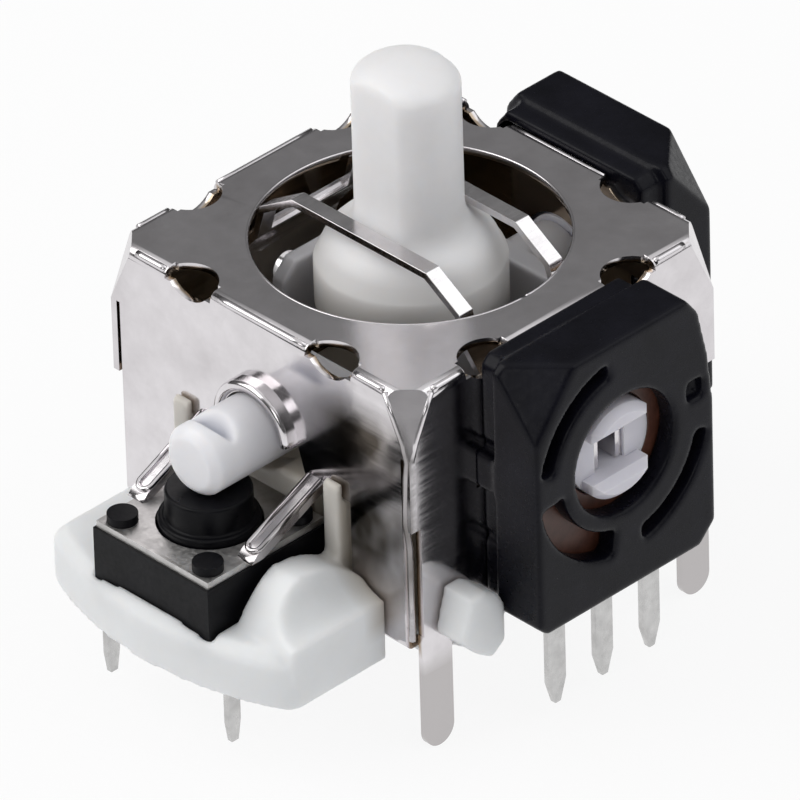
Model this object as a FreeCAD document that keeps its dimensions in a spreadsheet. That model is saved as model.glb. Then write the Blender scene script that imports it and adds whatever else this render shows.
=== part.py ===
import FreeCAD, Part
import math
import os
import re
import Sketcher

# Two-axis analog stick for a game controller, with a centre push switch.
# The origin is on the stick's axis, in the plane of the circuit board the part stands on.
# +Z runs up the stick, +X points out of the wall with the first rotary sensor and the
# push switch lies on the -Y side.

doc = FreeCAD.newDocument("analog_stick")
sheet = doc.addObject("Spreadsheet::Sheet", "Sizes")

# Name, value in millimetres or degrees, what it is.
SIZES = [
    ("frame_width", 16.0, "outer width of the folded frame, both ways"),
    ("frame_height", 12.2, "top of the frame above the circuit board"),
    ("sheet_thick", 0.3, "thickness of the frame and of the upper yoke"),
    ("bend_radius", 0.45, "outer radius of the frame's bends"),
    ("wall_foot", 1.1, "height of the walls' lower edge"),
    ("top_hole_radius", 6.11, "round opening in the frame's top"),
    ("corner_cut", 1.25, "how far the corner facets cut into the top edges"),
    ("corner_drop", 2.7, "how far the corner facets run down"),
    ("slit_gap", 0.17, "open slit between two walls"),
    ("step_height", 6.3, "height below which the side walls step in"),
    ("step_half", 7.5, "half width of the side walls below the step"),
    ("relief_offset", 3.75, "bend relief notches, from the middle of the edge"),
    ("relief_radius", 1.22, "half length of a bend relief notch"),
    ("relief_drop", 0.85, "how far a notch reaches down the wall"),
    ("pivot_share", 0.6164, "height of both tilting axes, as a share of the frame's height"),
    ("leg_offset", 6.8, "frame legs, from the middle of the wall"),
    ("leg_width", 1.45, "width of a frame leg"),
    ("leg_depth", 3.85, "frame legs' length below the board's top"),
    ("window_half", 4.75, "half width of the opening in the switch wall"),
    ("window_drop", 1.32, "top of the opening in the switch wall, below the pivot"),
    ("window_shoulder", 2.4, "where the opening's top starts to rise"),
    ("collar_wall", 0.47, "wall of the half round collar over the arm"),
    ("collar_reach", 0.45, "how far the collar stands out of the wall"),
    ("tab_near", 2.55, "inner edge of a hold-down tab"),
    ("tab_width", 0.8, "width of a hold-down tab"),
    ("tab_reach", 3.5, "how far a hold-down tab runs out"),
    ("curl_near", 5.4, "inner edge of the wall's curled foot"),
    ("curl_reach", 0.8, "how far the curled foot runs inwards"),
    ("curl_base", 0.75, "height of the curled foot's underside"),
    ("drive_hole_radius", 1.75, "hole in a wall for a sensor's drive"),
    ("peg_offset", 4.25, "sensor pegs, from the middle of the wall"),
    ("peg_width", 0.6, "width of a sensor peg"),
    ("peg_height", 1.6, "height of a sensor peg"),
    ("peg_gap", 0.04, "clearance round a sensor peg"),
    ("shaft_radius", 1.45, "round arm and shaft of the lower yoke"),
    ("running_gap", 0.08, "radial clearance of the turning fits"),
    ("arm_reach", 11.7, "end of the arm over the switch"),
    ("arm_bevel", 0.35, "bevel round the arm's end"),
    ("groove_centre", 10.4, "groove across the arm's top"),
    ("groove_half", 0.6, "half width of that groove"),
    ("groove_depth", 0.65, "depth of that groove"),
    ("yoke_half", 4.6, "half width of the lower yoke"),
    ("yoke_side", 0.7, "thickness of the lower yoke's side plates"),
    ("yoke_length", 5.6, "half length of the lower yoke's ring"),
    ("yoke_end", 0.95, "thickness of the lower yoke's end walls"),
    ("yoke_rise", 2.68, "side plates' top above the pivot"),
    ("yoke_drop", 1.3, "ring's underside below the pivot"),
    ("ear_half", 2.9, "half length of the raised side plates"),
    ("tongue_width", 1.5, "width of the drive tongues"),
    ("tongue_thick", 1.8, "height of the drive tongues"),
    ("tongue_relief", 0.15, "how far the lower yoke's barrel stands proud of its tongue"),
    ("barrel_place", 9.1, "the barrel on which the lower yoke rocks"),
    ("tongue_end", 10.25, "end of the drive tongues"),
    ("tongue_gap", 0.04, "clearance of a tongue in its slot"),
    ("stem_radius", 2.1, "stick's round stem"),
    ("stem_flat", 1.72, "stick's flats, from its axis"),
    ("stem_rise", 7.66, "top of the stick above the frame"),
    ("stem_round", 0.86, "height of the stick's domed top"),
    ("shoulder_radius", 1.82, "domed top's radius half way up"),
    ("shoulder_below", 0.43, "domed top's half way point below the top"),
    ("crown_radius", 1.05, "domed top's radius near the top"),
    ("crown_below", 0.12, "that radius's place below the top"),
    ("neck_radius", 2.15, "dome's radius where the stem leaves it"),
    ("neck_rise", 0.85, "where the stem leaves the dome, above the frame"),
    ("dome_mid_radius", 3.0, "dome's radius half way down"),
    ("dome_mid_rise", 0.22, "dome's half way point above the frame"),
    ("dome_edge_radius", 3.5, "dome's edge"),
    ("dome_edge_drop", 0.8, "dome's edge below the frame's top"),
    ("skirt_radius", 3.68, "round skirt under the dome"),
    ("skirt_wall", 0.7, "thickness of the skirt"),
    ("skirt_drop", 3.0, "underside of the skirt below the frame's top"),
    ("dome_under_drop", 1.5, "underside of the dome inside the skirt"),
    ("tail_radius", 1.7, "stick's tail below the dome"),
    ("tail_ball", 2.9, "radius of the tail's round end about the pivot"),
    ("tail_facet", 0.9, "where the two faces of the tail's end meet"),
    ("pin_radius", 0.8, "stick's cross pins"),
    ("flat_rise", 0.3, "lower end of the stick's flats above the frame"),
    ("arch_rise", 1.15, "top of the upper yoke above the frame"),
    ("arch_half", 2.7, "half width of the upper yoke"),
    ("arch_flat", 3.6, "half length of the arch's level part"),
    ("arch_slope", 5.35, "where the arch's slope steepens"),
    ("arch_slope_rise", 0.05, "that point's height above the frame"),
    ("arch_steep", 5.75, "lower end of the steep part"),
    ("arch_steep_drop", 1.3, "that point's depth below the frame's top"),
    ("arch_knee", 6.9, "where the arch turns into the flange"),
    ("arch_knee_drop", 2.7, "that turn's depth below the frame's top"),
    ("flange_reach", 7.2, "outer face of the upper yoke's flanges"),
    ("shoulder_drop", 3.4, "where the flange turns upright, below the frame's top"),
    ("flange_foot", 1.55, "flange's rounded end below the pivot"),
    ("slot_half_width", 2.0, "half width of the upper yoke's slot"),
    ("slot_half_length", 5.65, "half length of the upper yoke's slot"),
    ("eyelet_radius", 0.95, "hollow eyelet of the upper yoke"),
    ("eyelet_bore", 0.65, "bore of the eyelet"),
    ("sensor_half", 4.65, "half width of a rotary sensor"),
    ("sensor_drop", 6.12, "underside of a rotary sensor below the pivot"),
    ("sensor_rise", 5.18, "top of a rotary sensor above the pivot"),
    ("sensor_front", 11.3, "front face of a rotary sensor"),
    ("sensor_step", 8.96, "step behind which a sensor is narrower"),
    ("sensor_rear_inset", 0.4, "how much narrower it is there"),
    ("sensor_wall", 0.7, "wall thickness of a sensor's housing"),
    ("shoulder_rise", 2.38, "where the sensor's cut corner starts, above the pivot"),
    ("sensor_cut", 2.15, "width of the sensor's cut corner"),
    ("sensor_slope", 0.5, "how much the sensor's side leans in near the top"),
    ("sensor_bevel", 0.4, "small bevels of the sensor's corners"),
    ("sensor_round", 0.8, "larger bevels of the corners away from the cut one"),
    ("cover_wall", 0.95, "thickness of the sensor's front wall"),
    ("eye_radius", 2.58, "round window in the sensor's front"),
    ("arc_outer", 4.38, "outer radius of the low curved window"),
    ("arc_inner", 3.25, "inner radius of the low curved window"),
    ("slender_outer", 4.45, "outer radius of the two slender windows"),
    ("slender_inner", 3.8, "inner radius of the two slender windows"),
    ("left_start", 101.0, "start of the left window, from the +Y side"),
    ("left_sweep", 67.0, "angle the left window covers"),
    ("low_start", 188.0, "start of the low window"),
    ("low_sweep", 72.0, "angle the low window covers"),
    ("right_start", 282.0, "start of the right window"),
    ("right_sweep", 65.0, "angle the right window covers"),
    ("dimple_offset", 3.7, "square dimple, from the pivot sideways"),
    ("dimple_rise", 1.0, "square dimple, above the pivot"),
    ("dimple_size", 0.8, "width of the square dimple"),
    ("dimple_depth", 0.5, "depth of the square dimple"),
    ("clip_rise", 1.05, "upper clip notch in the sensor's side, above the pivot"),
    ("clip_drop", 3.05, "lower clip notch, below the pivot"),
    ("clip_width", 0.5, "height of a clip notch"),
    ("clip_depth", 0.55, "depth of a clip notch"),
    ("board_thick", 0.4, "thickness of a sensor's track board"),
    ("board_gap", 0.05, "clearance round the track board"),
    ("rotor_radius", 2.0, "rotor's hub"),
    ("rotor_front", 11.25, "front of the rotor's lobes"),
    ("cheek_front", 10.4, "front of the rotor's cheeks beside the lobes"),
    ("rotor_flange", 3.7, "rotor's flange that carries the wiper"),
    ("flange_back", 8.9, "back of the rotor's flange"),
    ("flange_thick", 0.5, "thickness of the rotor's flange"),
    ("rotor_tail", 1.6, "rotor's rear hub in the wall's hole"),
    ("notch_half", 0.9, "half height of the gap between the rotor's lobes"),
    ("lobe_half", 1.45, "half width of the rotor's lobes"),
    ("lobe_bevel", 0.3, "bevel of the lobes' front edges"),
    ("wiper_outer", 3.5, "outer radius of the wiper ring"),
    ("wiper_inner", 2.9, "inner radius of the wiper ring"),
    ("wiper_thick", 0.15, "thickness of the wiper"),
    ("wiper_finger", 0.45, "width of a wiper finger"),
    ("wiper_air", 0.02, "gap between a wiper finger and the tracks"),
    ("terminal_pitch", 2.5, "pitch of a sensor's terminals"),
    ("terminal_width", 0.92, "width of a sensor's terminal"),
    ("terminal_thick", 0.3, "thickness of the terminals"),
    ("terminal_rise", 2.0, "upper end of a sensor's terminal above the sensor's underside"),
    ("terminal_tip", 3.2, "terminal's tip below the board's top"),
    ("terminal_taper", 1.0, "length of a terminal's pointed tip"),
    ("terminal_point", 0.3, "width of a terminal's point"),
    ("terminal_slot_gap", 0.05, "clearance round the terminals"),
    ("base_floor", 2.2, "top of the base's floor"),
    ("shelf_top", 2.35, "top of the base's shelf round the switch"),
    ("shelf_side", 6.55, "half width of the base's shelf"),
    ("shelf_corner", 12.9, "where the shelf's sides end"),
    ("shelf_arc", 15.0, "radius of the shelf's curved front"),
    ("shelf_round", 0.9, "rounding of the shelf's upright corners"),
    ("shelf_edge", 0.45, "rounding of the shelf's top edges"),
    ("joint_gap", 0.05, "clearance between the base and the frame's window"),
    ("well_radius", 3.0, "spring well in the base"),
    ("well_floor", 0.9, "floor of the spring well"),
    ("well_wall", 0.6, "wall of the spring well"),
    ("well_top", 3.4, "top of the spring well's wall"),
    ("post_radius", 1.6, "post inside the spring"),
    ("post_top", 2.3, "top of that post"),
    ("block_half", 2.4, "half width of the upright behind the switch"),
    ("block_front", 8.3, "front of the upright over the switch's cover"),
    ("block_back", 7.0, "back of the upright"),
    ("cradle_gap", 0.35, "room under the arm for its press travel"),
    ("rib_near", 3.6, "inner edge of the upright ribs"),
    ("rib_far", 4.45, "outer edge of the upright ribs"),
    ("rib_front", 8.4, "front of the upright ribs"),
    ("rib_rise", 0.7, "top of the upright ribs above the opening's top"),
    ("rib_round", 0.25, "rounding of the ribs' tops"),
    ("ridge_near", 3.45, "inner edge of the rounded ridge"),
    ("ridge_soft", 1.6, "radius of the ridge's round outer side"),
    ("ridge_centre", 11.0, "middle of the rounded ridge"),
    ("ridge_radius", 4.2, "radius of the ridge's round top"),
    ("hook_near", 4.75, "near side of the hook beside the sensor"),
    ("hook_neck", 5.95, "far side of the hook's neck under the wall"),
    ("hook_far", 7.0, "far side of the hook's head"),
    ("hook_reach", 9.6, "how far the hook stands out"),
    ("hook_under", 0.15, "underside of the hook"),
    ("hook_bevel", 0.5, "bevel at the hook's top and foot"),
    ("hook_neck_top", 1.0, "top of the hook's neck"),
    ("hook_top", 3.3, "top of the hook's head"),
    ("hook_waist", 1.5, "height of the hook's widest point"),
    ("cup_radius", 2.92, "spring cup"),
    ("cup_wall", 0.4, "wall of the spring cup"),
    ("cup_thick", 0.6, "top of the spring cup"),
    ("cup_depth", 1.92, "rim of the spring cup below its top"),
    ("wire_radius", 0.16, "wire of the centring spring"),
    ("spring_radius", 2.1, "mean radius of the centring spring"),
    ("spring_pitch", 1.0, "pitch of the centring spring"),
    ("switch_centre", 10.75, "switch's middle, from the stick's axis"),
    ("switch_half", 3.1, "half width of the switch's body"),
    ("switch_foot", 1.2, "underside of the switch's body"),
    ("switch_drop", 1.77, "top of the switch's body below the arm"),
    ("switch_gap", 0.05, "clearance round the switch's body"),
    ("lid_half", 3.0, "half width of the switch's steel cover"),
    ("lid_hole", 2.05, "hole in the switch's cover"),
    ("stake_offset", 2.3, "staked posts, from the switch's middle"),
    ("stake_radius", 0.6, "radius of a staked post"),
    ("stake_height", 0.35, "staked head above the cover"),
    ("button_radius", 1.68, "switch's button"),
    ("button_flange", 1.96, "button's flange"),
    ("flange_drop", 1.17, "top of the button's flange below the arm"),
    ("flange_height", 1.1, "height of the button's flange"),
    ("button_depth", 2.72, "underside of the button below the arm"),
    ("cavity_radius", 2.3, "round space in the switch's body"),
    ("cavity_depth", 1.7, "depth of that space"),
    ("snap_radius", 2.1, "radius of the snap disc"),
    ("snap_thick", 0.08, "thickness of the snap disc"),
    ("pin_row", 3.15, "inner face of the switch's terminal rows"),
    ("pin_pitch", 2.25, "switch terminals, from the switch's middle"),
    ("pin_thick", 0.25, "thickness of a switch terminal"),
    ("pin_width", 0.65, "width of a switch terminal"),
    ("pin_point", 0.35, "width of a switch terminal's tip"),
    ("pin_tip", 2.75, "switch terminals' tips below the board's top"),
    ("pin_taper", 0.9, "length of a switch terminal's taper"),
    ("strap_near", 2.0, "inner end of a switch terminal's strap"),
    ("strap_top", 1.85, "top of a switch terminal's strap"),
    ("quarter_turn", 90.0, "angle between the two rotary sensors"),
]

VALUES = {name: value for name, value, note in SIZES}
for row, (name, value, note) in enumerate(SIZES, start=1):
    sheet.set("A%d" % row, name)
    sheet.set("B%d" % row, str(value))
    sheet.setAlias("B%d" % row, name)
    sheet.set("C%d" % row, note)
doc.recompute()

# Sizes that follow from the ones above.
DERIVED = {
    "frame_half": "frame_width / 2",
    "pivot_height": "frame_height * pivot_share",
    "slit_top": "frame_height - corner_drop",
    "window_top": "pivot_height - window_drop",
    "wall_inner": "frame_half - sheet_thick",
    "plate_under": "frame_height - sheet_thick",
    "beyond": "frame_width",
    "collar_bore": "shaft_radius + running_gap",
    "collar_radius": "collar_bore + collar_wall",
    "relief_circle": "(relief_radius^2 + relief_drop^2) / (2 * relief_drop)",
    "relief_centre": "frame_height - relief_drop + relief_circle",
    "leg_near": "leg_offset - leg_width / 2",
    "leg_far": "leg_offset + leg_width / 2",
    "yoke_inner": "yoke_half - yoke_side",
    "yoke_inner_end": "yoke_length - yoke_end",
    "cover_back": "sensor_front - cover_wall",
    "board_back": "cover_back - board_thick",
    "tail_foot": "pivot_height - tail_ball",
    "arm_under": "pivot_height - shaft_radius",
    "lid_top": "switch_top + sheet_thick",
    "flange_front": "flange_back + flange_thick",
    "wiper_front": "flange_front + wiper_thick",
    "spring_foot": "well_floor + wire_radius",
    "spring_head": "tail_foot - cup_thick - wire_radius",
    "cup_foot": "tail_foot - cup_depth",
    "arch_top": "frame_height + arch_rise",
    "arch_slope_height": "frame_height + arch_slope_rise",
    "arch_steep_height": "frame_height - arch_steep_drop",
    "arch_knee_height": "frame_height - arch_knee_drop",
    "flange_shoulder": "frame_height - shoulder_drop",
    "stem_top": "frame_height + stem_rise",
    "neck_height": "frame_height + neck_rise",
    "dome_mid_height": "frame_height + dome_mid_rise",
    "dome_edge_height": "frame_height - dome_edge_drop",
    "skirt_foot": "frame_height - skirt_drop",
    "dome_under": "frame_height - dome_under_drop",
    "flat_foot": "frame_height + flat_rise",
    "sensor_foot": "pivot_height - sensor_drop",
    "sensor_top": "pivot_height + sensor_rise",
    "sensor_shoulder": "pivot_height + shoulder_rise",
    "terminal_head": "sensor_foot + terminal_rise",
    "dimple_foot": "pivot_height + dimple_rise - dimple_size / 2",
    "terminal_slot": "terminal_width + 2 * terminal_slot_gap",
    "rib_top": "window_top + rib_rise",
    "ridge_top": "switch_top",
    "switch_top": "arm_under - switch_drop",
    "button_flange_top": "arm_under - flange_drop",
    "button_flange_foot": "button_flange_top - flange_height",
    "button_foot": "arm_under - button_depth",
    "cavity_floor": "switch_top - cavity_depth",
    "stake_top": "lid_top + stake_height",
}


def expand(text, render):
    def swap(match):
        word = match.group(0)
        if word in DERIVED:
            return "(" + expand(DERIVED[word], render) + ")"
        if word in VALUES:
            return render(word)
        return word
    return re.sub(r"[a-z][a-z_]+", swap, text)


def ref(text):
    return expand(text, lambda word: "Sizes." + word)


def num(text):
    return FreeCAD.Units.Quantity(expand(text, lambda word: "%.9f" % VALUES[word])).Value


def vector(x, y, z=0.0):
    return FreeCAD.Vector(x, y, z)


ROLES = {"x": "YZ_Plane", "y": "XZ_Plane", "z": "XY_Plane"}


def new_body(name):
    return doc.addObject("PartDesign::Body", name)


def plane_of(body, axis):
    return [item for item in body.Origin.OriginFeatures if item.Role == ROLES[axis]][0]


def new_sketch(body, axis, start="0", rise="0", turn=None, centre=None):
    # A sketch at right angles to an axis. Across x it runs (y, z), across y (x, z), across z (x, y).
    sketch = body.newObject("Sketcher::SketchObject", body.Name + "_sketch")
    sketch.AttachmentSupport = [(plane_of(body, axis), "")]
    sketch.MapMode = "FlatFace"
    if turn is not None:
        sketch.AttachmentOffset = FreeCAD.Placement(centre, turn)
        return sketch
    offset = "-(" + start + ")" if axis == "y" else start
    sketch.AttachmentOffset = FreeCAD.Placement(vector(0, num(rise), num(offset)), FreeCAD.Rotation())
    sketch.setExpression("AttachmentOffset.Base.z", ref(offset))
    sketch.setExpression("AttachmentOffset.Base.y", ref(rise))
    return sketch


def pin_point(held, edge, end, x, y):
    # Notes down a point's two distances from the origin; hold() sets them all at once.
    for kind, text in (("DistanceX", x), ("DistanceY", y)):
        held.append((Sketcher.Constraint(kind, -1, 1, edge, end, num(text)), text))


def hold(sketch, held):
    first = sketch.ConstraintCount
    sketch.addConstraint([constraint for constraint, text in held])
    for place, (constraint, text) in enumerate(held):
        if text is not None:
            sketch.setExpression("Constraints[%d]" % (first + place), ref(text))


def bulge(start, end, radius, side):
    # The middle of an arc between two points; side is +1 or -1.
    middle = (start + end) * 0.5
    chord = end - start
    rise = math.sqrt(max(radius ** 2 - (chord.Length / 2) ** 2, 0.0))
    across = vector(-chord.y, chord.x).normalize()
    return middle + across * (radius - rise) * side


def draw(sketch, shape):
    # A shape is ("ring", x, y, radius) or a list of corners (x, y). A corner (x, y, radius, side)
    # ends an arc instead of a straight line.
    held = []
    if shape[0] == "ring":
        x, y, radius = shape[1:]
        edge = sketch.addGeometry(Part.Circle(vector(num(x), num(y)), vector(0, 0, 1), num(radius)), False)
        pin_point(held, edge, 3, x, y)
        held.append((Sketcher.Constraint("Radius", edge, num(radius)), radius))
        hold(sketch, held)
        return
    first = sketch.GeometryCount
    spots = [vector(num(corner[0]), num(corner[1])) for corner in shape]
    count = len(shape)
    turned = []
    for place in range(count):
        after = (place + 1) % count
        corner = shape[after]
        if len(corner) == 4:
            middle = bulge(spots[place], spots[after], num(corner[2]), corner[3])
            # Arcs are always drawn anticlockwise, so some start at the next corner.
            clockwise = corner[3] > 0
            ends = (spots[after], spots[place]) if clockwise else (spots[place], spots[after])
            sketch.addGeometry(Part.Arc(ends[0], middle, ends[1]), False)
            turned.append(clockwise)
        else:
            sketch.addGeometry(Part.LineSegment(spots[place], spots[after]), False)
            turned.append(False)
    for place in range(count):
        after = (place + 1) % count
        leave = 1 if turned[place] else 2
        meet = 2 if turned[after] else 1
        held.append((Sketcher.Constraint("Coincident", first + place, leave, first + after, meet), None))
    for place in range(count):
        begin = 2 if turned[place] else 1
        pin_point(held, first + place, begin, shape[place][0], shape[place][1])
        corner = shape[(place + 1) % count]
        if len(corner) == 4:
            held.append((Sketcher.Constraint("Radius", first + place, num(corner[2])), corner[2]))
    hold(sketch, held)


def extrude(body, axis, start, end, shapes, cut=False):
    # Adds or cuts a straight length between two planes across an axis.
    sketch = new_sketch(body, axis, start)
    for shape in shapes:
        draw(sketch, shape)
    kind = "PartDesign::Pocket" if cut else "PartDesign::Pad"
    feature = body.newObject(kind, body.Name + ("_cut" if cut else "_pad"))
    feature.Profile = sketch
    feature.Type = 0
    feature.Length = num("(" + end + ") - (" + start + ")")
    feature.setExpression("Length", ref("(" + end + ") - (" + start + ")"))
    feature.Reversed = (axis == "y") != cut
    feature.Refine = not cut
    doc.recompute()
    return feature


def box(body, low, high, cut=False):
    # A block between two corners given as texts "x, y, z".
    x0, y0, z0 = [part.strip() for part in low.split(",")]
    x1, y1, z1 = [part.strip() for part in high.split(",")]
    outline = [(x0, y0), (x1, y0), (x1, y1), (x0, y1)]
    return extrude(body, "z", z0, z1, [outline], cut)


def spin(body, axis, shape, rise="0", cut=False, turn=None, angle=None, reverse=False):
    # Turns an outline round the z axis, or round the x or y axis at a height.
    if turn is not None:
        sketch = new_sketch(body, "z", turn=turn, centre=vector(0, 0, num(rise)))
    else:
        sketch = new_sketch(body, "x" if axis == "y" else "y", rise=rise)
    draw(sketch, shape)
    kind = "PartDesign::Groove" if cut else "PartDesign::Revolution"
    feature = body.newObject(kind, body.Name + ("_groove" if cut else "_turn"))
    feature.Profile = sketch
    feature.ReferenceAxis = (sketch, ["V_Axis" if axis == "z" else "H_Axis"])
    feature.Angle = 360.0 if angle is None else angle
    feature.Reversed = reverse
    doc.recompute()
    return feature


def mirrored(body, features, axis):
    # Repeats features on the other side of the plane across an axis.
    feature = body.newObject("PartDesign::Mirrored", body.Name + "_mirror")
    feature.Originals = features
    feature.MirrorPlane = (plane_of(body, axis), [""])
    body.Tip = feature
    doc.recompute()
    return feature


def edges_where(feature, test):
    return ["Edge%d" % (index + 1) for index, edge in enumerate(feature.Shape.Edges) if test(edge)]


def round_off(body, feature, radius, test, bevel=False):
    names = edges_where(feature, test)
    kind = "PartDesign::Chamfer" if bevel else "PartDesign::Fillet"
    result = body.newObject(kind, body.Name + ("_bevel" if bevel else "_round"))
    result.Base = (feature, names)
    prop = "Size" if bevel else "Radius"
    setattr(result, prop, num(radius))
    result.setExpression(prop, ref(radius))
    doc.recompute()
    return result


def shell(body, feature, thickness, test):
    # Hollows a body to a wall thickness and leaves open the faces that pass the test.
    names = ["Face%d" % (index + 1) for index, face in enumerate(feature.Shape.Faces) if test(face)]
    result = body.newObject("PartDesign::Thickness", body.Name + "_shell")
    result.Base = (feature, names)
    result.Value = num(thickness)
    result.setExpression("Value", ref(thickness))
    result.Reversed = True
    result.Mode = 0
    result.Join = 1
    doc.recompute()
    return result


def slice_off(body, point, normal, size):
    # Cuts away everything beyond a plane through a point.
    turn = FreeCAD.Rotation(vector(0, 0, 1), normal)
    sketch = new_sketch(body, "z", turn=turn, centre=point)
    draw(sketch, [("-" + size, "-" + size), (size, "-" + size), (size, size), ("-" + size, size)])
    feature = body.newObject("PartDesign::Pocket", body.Name + "_facet")
    feature.Profile = sketch
    feature.Type = 0
    feature.Length = num(size)
    feature.setExpression("Length", ref(size))
    feature.Reversed = True
    doc.recompute()
    return feature


NEAR = 0.01  # two lengths this close count as the same, in millimetres


def at(value, target):
    return abs(value - target) < NEAR


def span(side, near, far):
    # A stretch from near to far on the + side, or its mirror image on the - side.
    if side == "-":
        return "-(" + far + ")", "-(" + near + ")"
    return near, far


# Folded sheet frame.
frame = new_body("frame")
top = num("frame_height")
half = num("frame_half")
box(frame, "-frame_half, -frame_half, wall_foot", "frame_half, frame_half, frame_height")
facet = None
for side_x in (1, -1):
    for side_y in (1, -1):
        corner = [
            vector(side_x * num("frame_half - corner_cut"), side_y * half, top),
            vector(side_x * half, side_y * num("frame_half - corner_cut"), top),
            vector(side_x * half, side_y * half, num("frame_height - corner_drop")),
        ]
        normal = (corner[1] - corner[0]).cross(corner[2] - corner[0])
        if normal.z < 0:
            normal = normal * -1
        facet = slice_off(frame, corner[0], normal, "frame_half / 2")
rounded = round_off(frame, facet, "bend_radius",
                    lambda edge: at(edge.BoundBox.ZMin, top) and edge.Length > half)
shell(frame, rounded, "sheet_thick", lambda face: at(face.BoundBox.ZMax, num("wall_foot")))
extrude(frame, "z", "plate_under - sheet_thick", "frame_height + sheet_thick",
        [("ring", "0", "0", "top_hole_radius")], cut=True)
extrude(frame, "z", "frame_height - bend_radius", "frame_height + bend_radius",
        [("ring", side + "frame_half", near + "relief_offset", "relief_radius")
         for side in ("", "-") for near in ("", "-")]
        + [("ring", near + "relief_offset", side + "frame_half", "relief_radius")
           for side in ("", "-") for near in ("", "-")], cut=True)
for side in ("", "-"):
    low, high = ("wall_inner - sheet_thick", "frame_half + sheet_thick")
    if side:
        low, high = ("-frame_half - sheet_thick", "-wall_inner + sheet_thick")
    for axis in ("x", "y"):
        extrude(frame, axis, low, high,
                [("ring", near + "relief_offset", "relief_centre", "relief_circle") for near in ("", "-")],
                cut=True)


def block_of(side_x, side_y, x_near, x_far, y_near, y_far):
    # A rectangle in one of the four quarters.
    xs = (x_near, x_far) if side_x > 0 else ("-(" + x_far + ")", "-(" + x_near + ")")
    ys = (y_near, y_far) if side_y > 0 else ("-(" + y_far + ")", "-(" + y_near + ")")
    return [(xs[0], ys[0]), (xs[1], ys[0]), (xs[1], ys[1]), (xs[0], ys[1])]


quarters = [(side_x, side_y) for side_x in (1, -1) for side_y in (1, -1)]
extrude(frame, "z", "0", "slit_top",
        [block_of(*quarter, "wall_inner - slit_gap", "wall_inner", "wall_inner - slit_gap", "beyond")
         for quarter in quarters], cut=True)
extrude(frame, "z", "0", "step_height",
        [block_of(*quarter, "wall_inner - slit_gap", "beyond", "step_half", "beyond")
         for quarter in quarters], cut=True)
# Collar, then the opening under it.
extrude(frame, "y", "-frame_half - collar_reach", "-wall_inner",
        [("ring", "0", "pivot_height", "collar_radius")])
window = [("-window_half", "0"), ("window_half", "0"), ("window_half", "window_top"),
          ("window_shoulder", "window_top"), ("collar_radius", "pivot_height"),
          ("-collar_radius", "pivot_height"), ("-window_shoulder", "window_top"),
          ("-window_half", "window_top")]
extrude(frame, "y", "-beyond", "-wall_inner + sheet_thick", [window], cut=True)
extrude(frame, "y", "-beyond", "-wall_inner + sheet_thick",
        [("ring", "0", "pivot_height", "collar_bore")], cut=True)
# Hold-down tabs for the switch.
tab = [("-frame_half", "window_top + sheet_thick"), ("-frame_half - tab_reach", "lid_top + sheet_thick"),
       ("-frame_half - tab_reach - sheet_thick", "lid_top"),
       ("-frame_half - tab_reach + sheet_thick", "lid_top"),
       ("-wall_inner", "window_top"), ("-wall_inner", "window_top + sheet_thick")]
tabs = extrude(frame, "x", "tab_near", "tab_near + tab_width", [tab])
mirrored(frame, [tabs], "x")
# Curled feet beside the opening.
trim = extrude(frame, "y", "-beyond", "-wall_inner + sheet_thick",
               [[("window_half - slit_gap", "0"), ("frame_half + slit_gap", "0"),
                 ("frame_half + slit_gap", "curl_base + bend_radius"),
                 ("curl_near", "curl_base + bend_radius"), ("curl_near - sheet_thick", "shelf_top"),
                 ("window_half - slit_gap", "shelf_top + bend_radius")]],
               cut=True)
curl = [("-frame_half", "curl_base + bend_radius"), ("-wall_inner", "curl_base", "bend_radius", -1),
        ("-frame_half + curl_reach", "curl_base"), ("-frame_half + curl_reach", "curl_base + sheet_thick"),
        ("-wall_inner + sheet_thick / 2", "curl_base + sheet_thick"),
        ("-wall_inner", "curl_base + bend_radius")]
foot = extrude(frame, "x", "curl_near", "wall_inner - slit_gap", [curl])
mirrored(frame, [trim, foot], "x")
# Holes for the drives, the eyelet and the sensors' pegs.
peg = [("peg_offset - peg_width / 2 - peg_gap", "pivot_height - peg_height / 2 - peg_gap"),
       ("peg_offset + peg_width / 2 + peg_gap", "pivot_height - peg_height / 2 - peg_gap"),
       ("peg_offset + peg_width / 2 + peg_gap", "pivot_height + peg_height / 2 + peg_gap"),
       ("peg_offset - peg_width / 2 - peg_gap", "pivot_height + peg_height / 2 + peg_gap")]
other_peg = [("-(" + x + ")", z) for x, z in peg]
for axis in ("x", "y"):
    extrude(frame, axis, "wall_inner - sheet_thick", "frame_half + sheet_thick",
            [("ring", "0", "pivot_height", "drive_hole_radius"), peg, other_peg], cut=True)
extrude(frame, "x", "-frame_half - sheet_thick", "-wall_inner + sheet_thick",
        [("ring", "0", "pivot_height", "eyelet_radius + running_gap")], cut=True)
# Soldering legs.
leg = [("leg_near", "-leg_depth + leg_width / 2"),
       ("leg_far", "-leg_depth + leg_width / 2", "leg_width / 2", -1),
       ("leg_far", "wall_foot + sheet_thick"), ("leg_near", "wall_foot + sheet_thick")]
other_leg = [("-(" + leg[0][0] + ")", leg[0][1]), ("-(" + leg[3][0] + ")", leg[3][1]),
             ("-(" + leg[2][0] + ")", leg[2][1]), ("-(" + leg[1][0] + ")", leg[1][1])]
legs = extrude(frame, "x", "wall_inner", "frame_half", [leg])
both = extrude(frame, "x", "wall_inner", "frame_half",
               [[("-leg_far", "-leg_depth + leg_width / 2"),
                 ("-leg_near", "-leg_depth + leg_width / 2", "leg_width / 2", -1),
                 ("-leg_near", "wall_foot + sheet_thick"), ("-leg_far", "wall_foot + sheet_thick")]])
mirrored(frame, [legs, both], "x")

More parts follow.
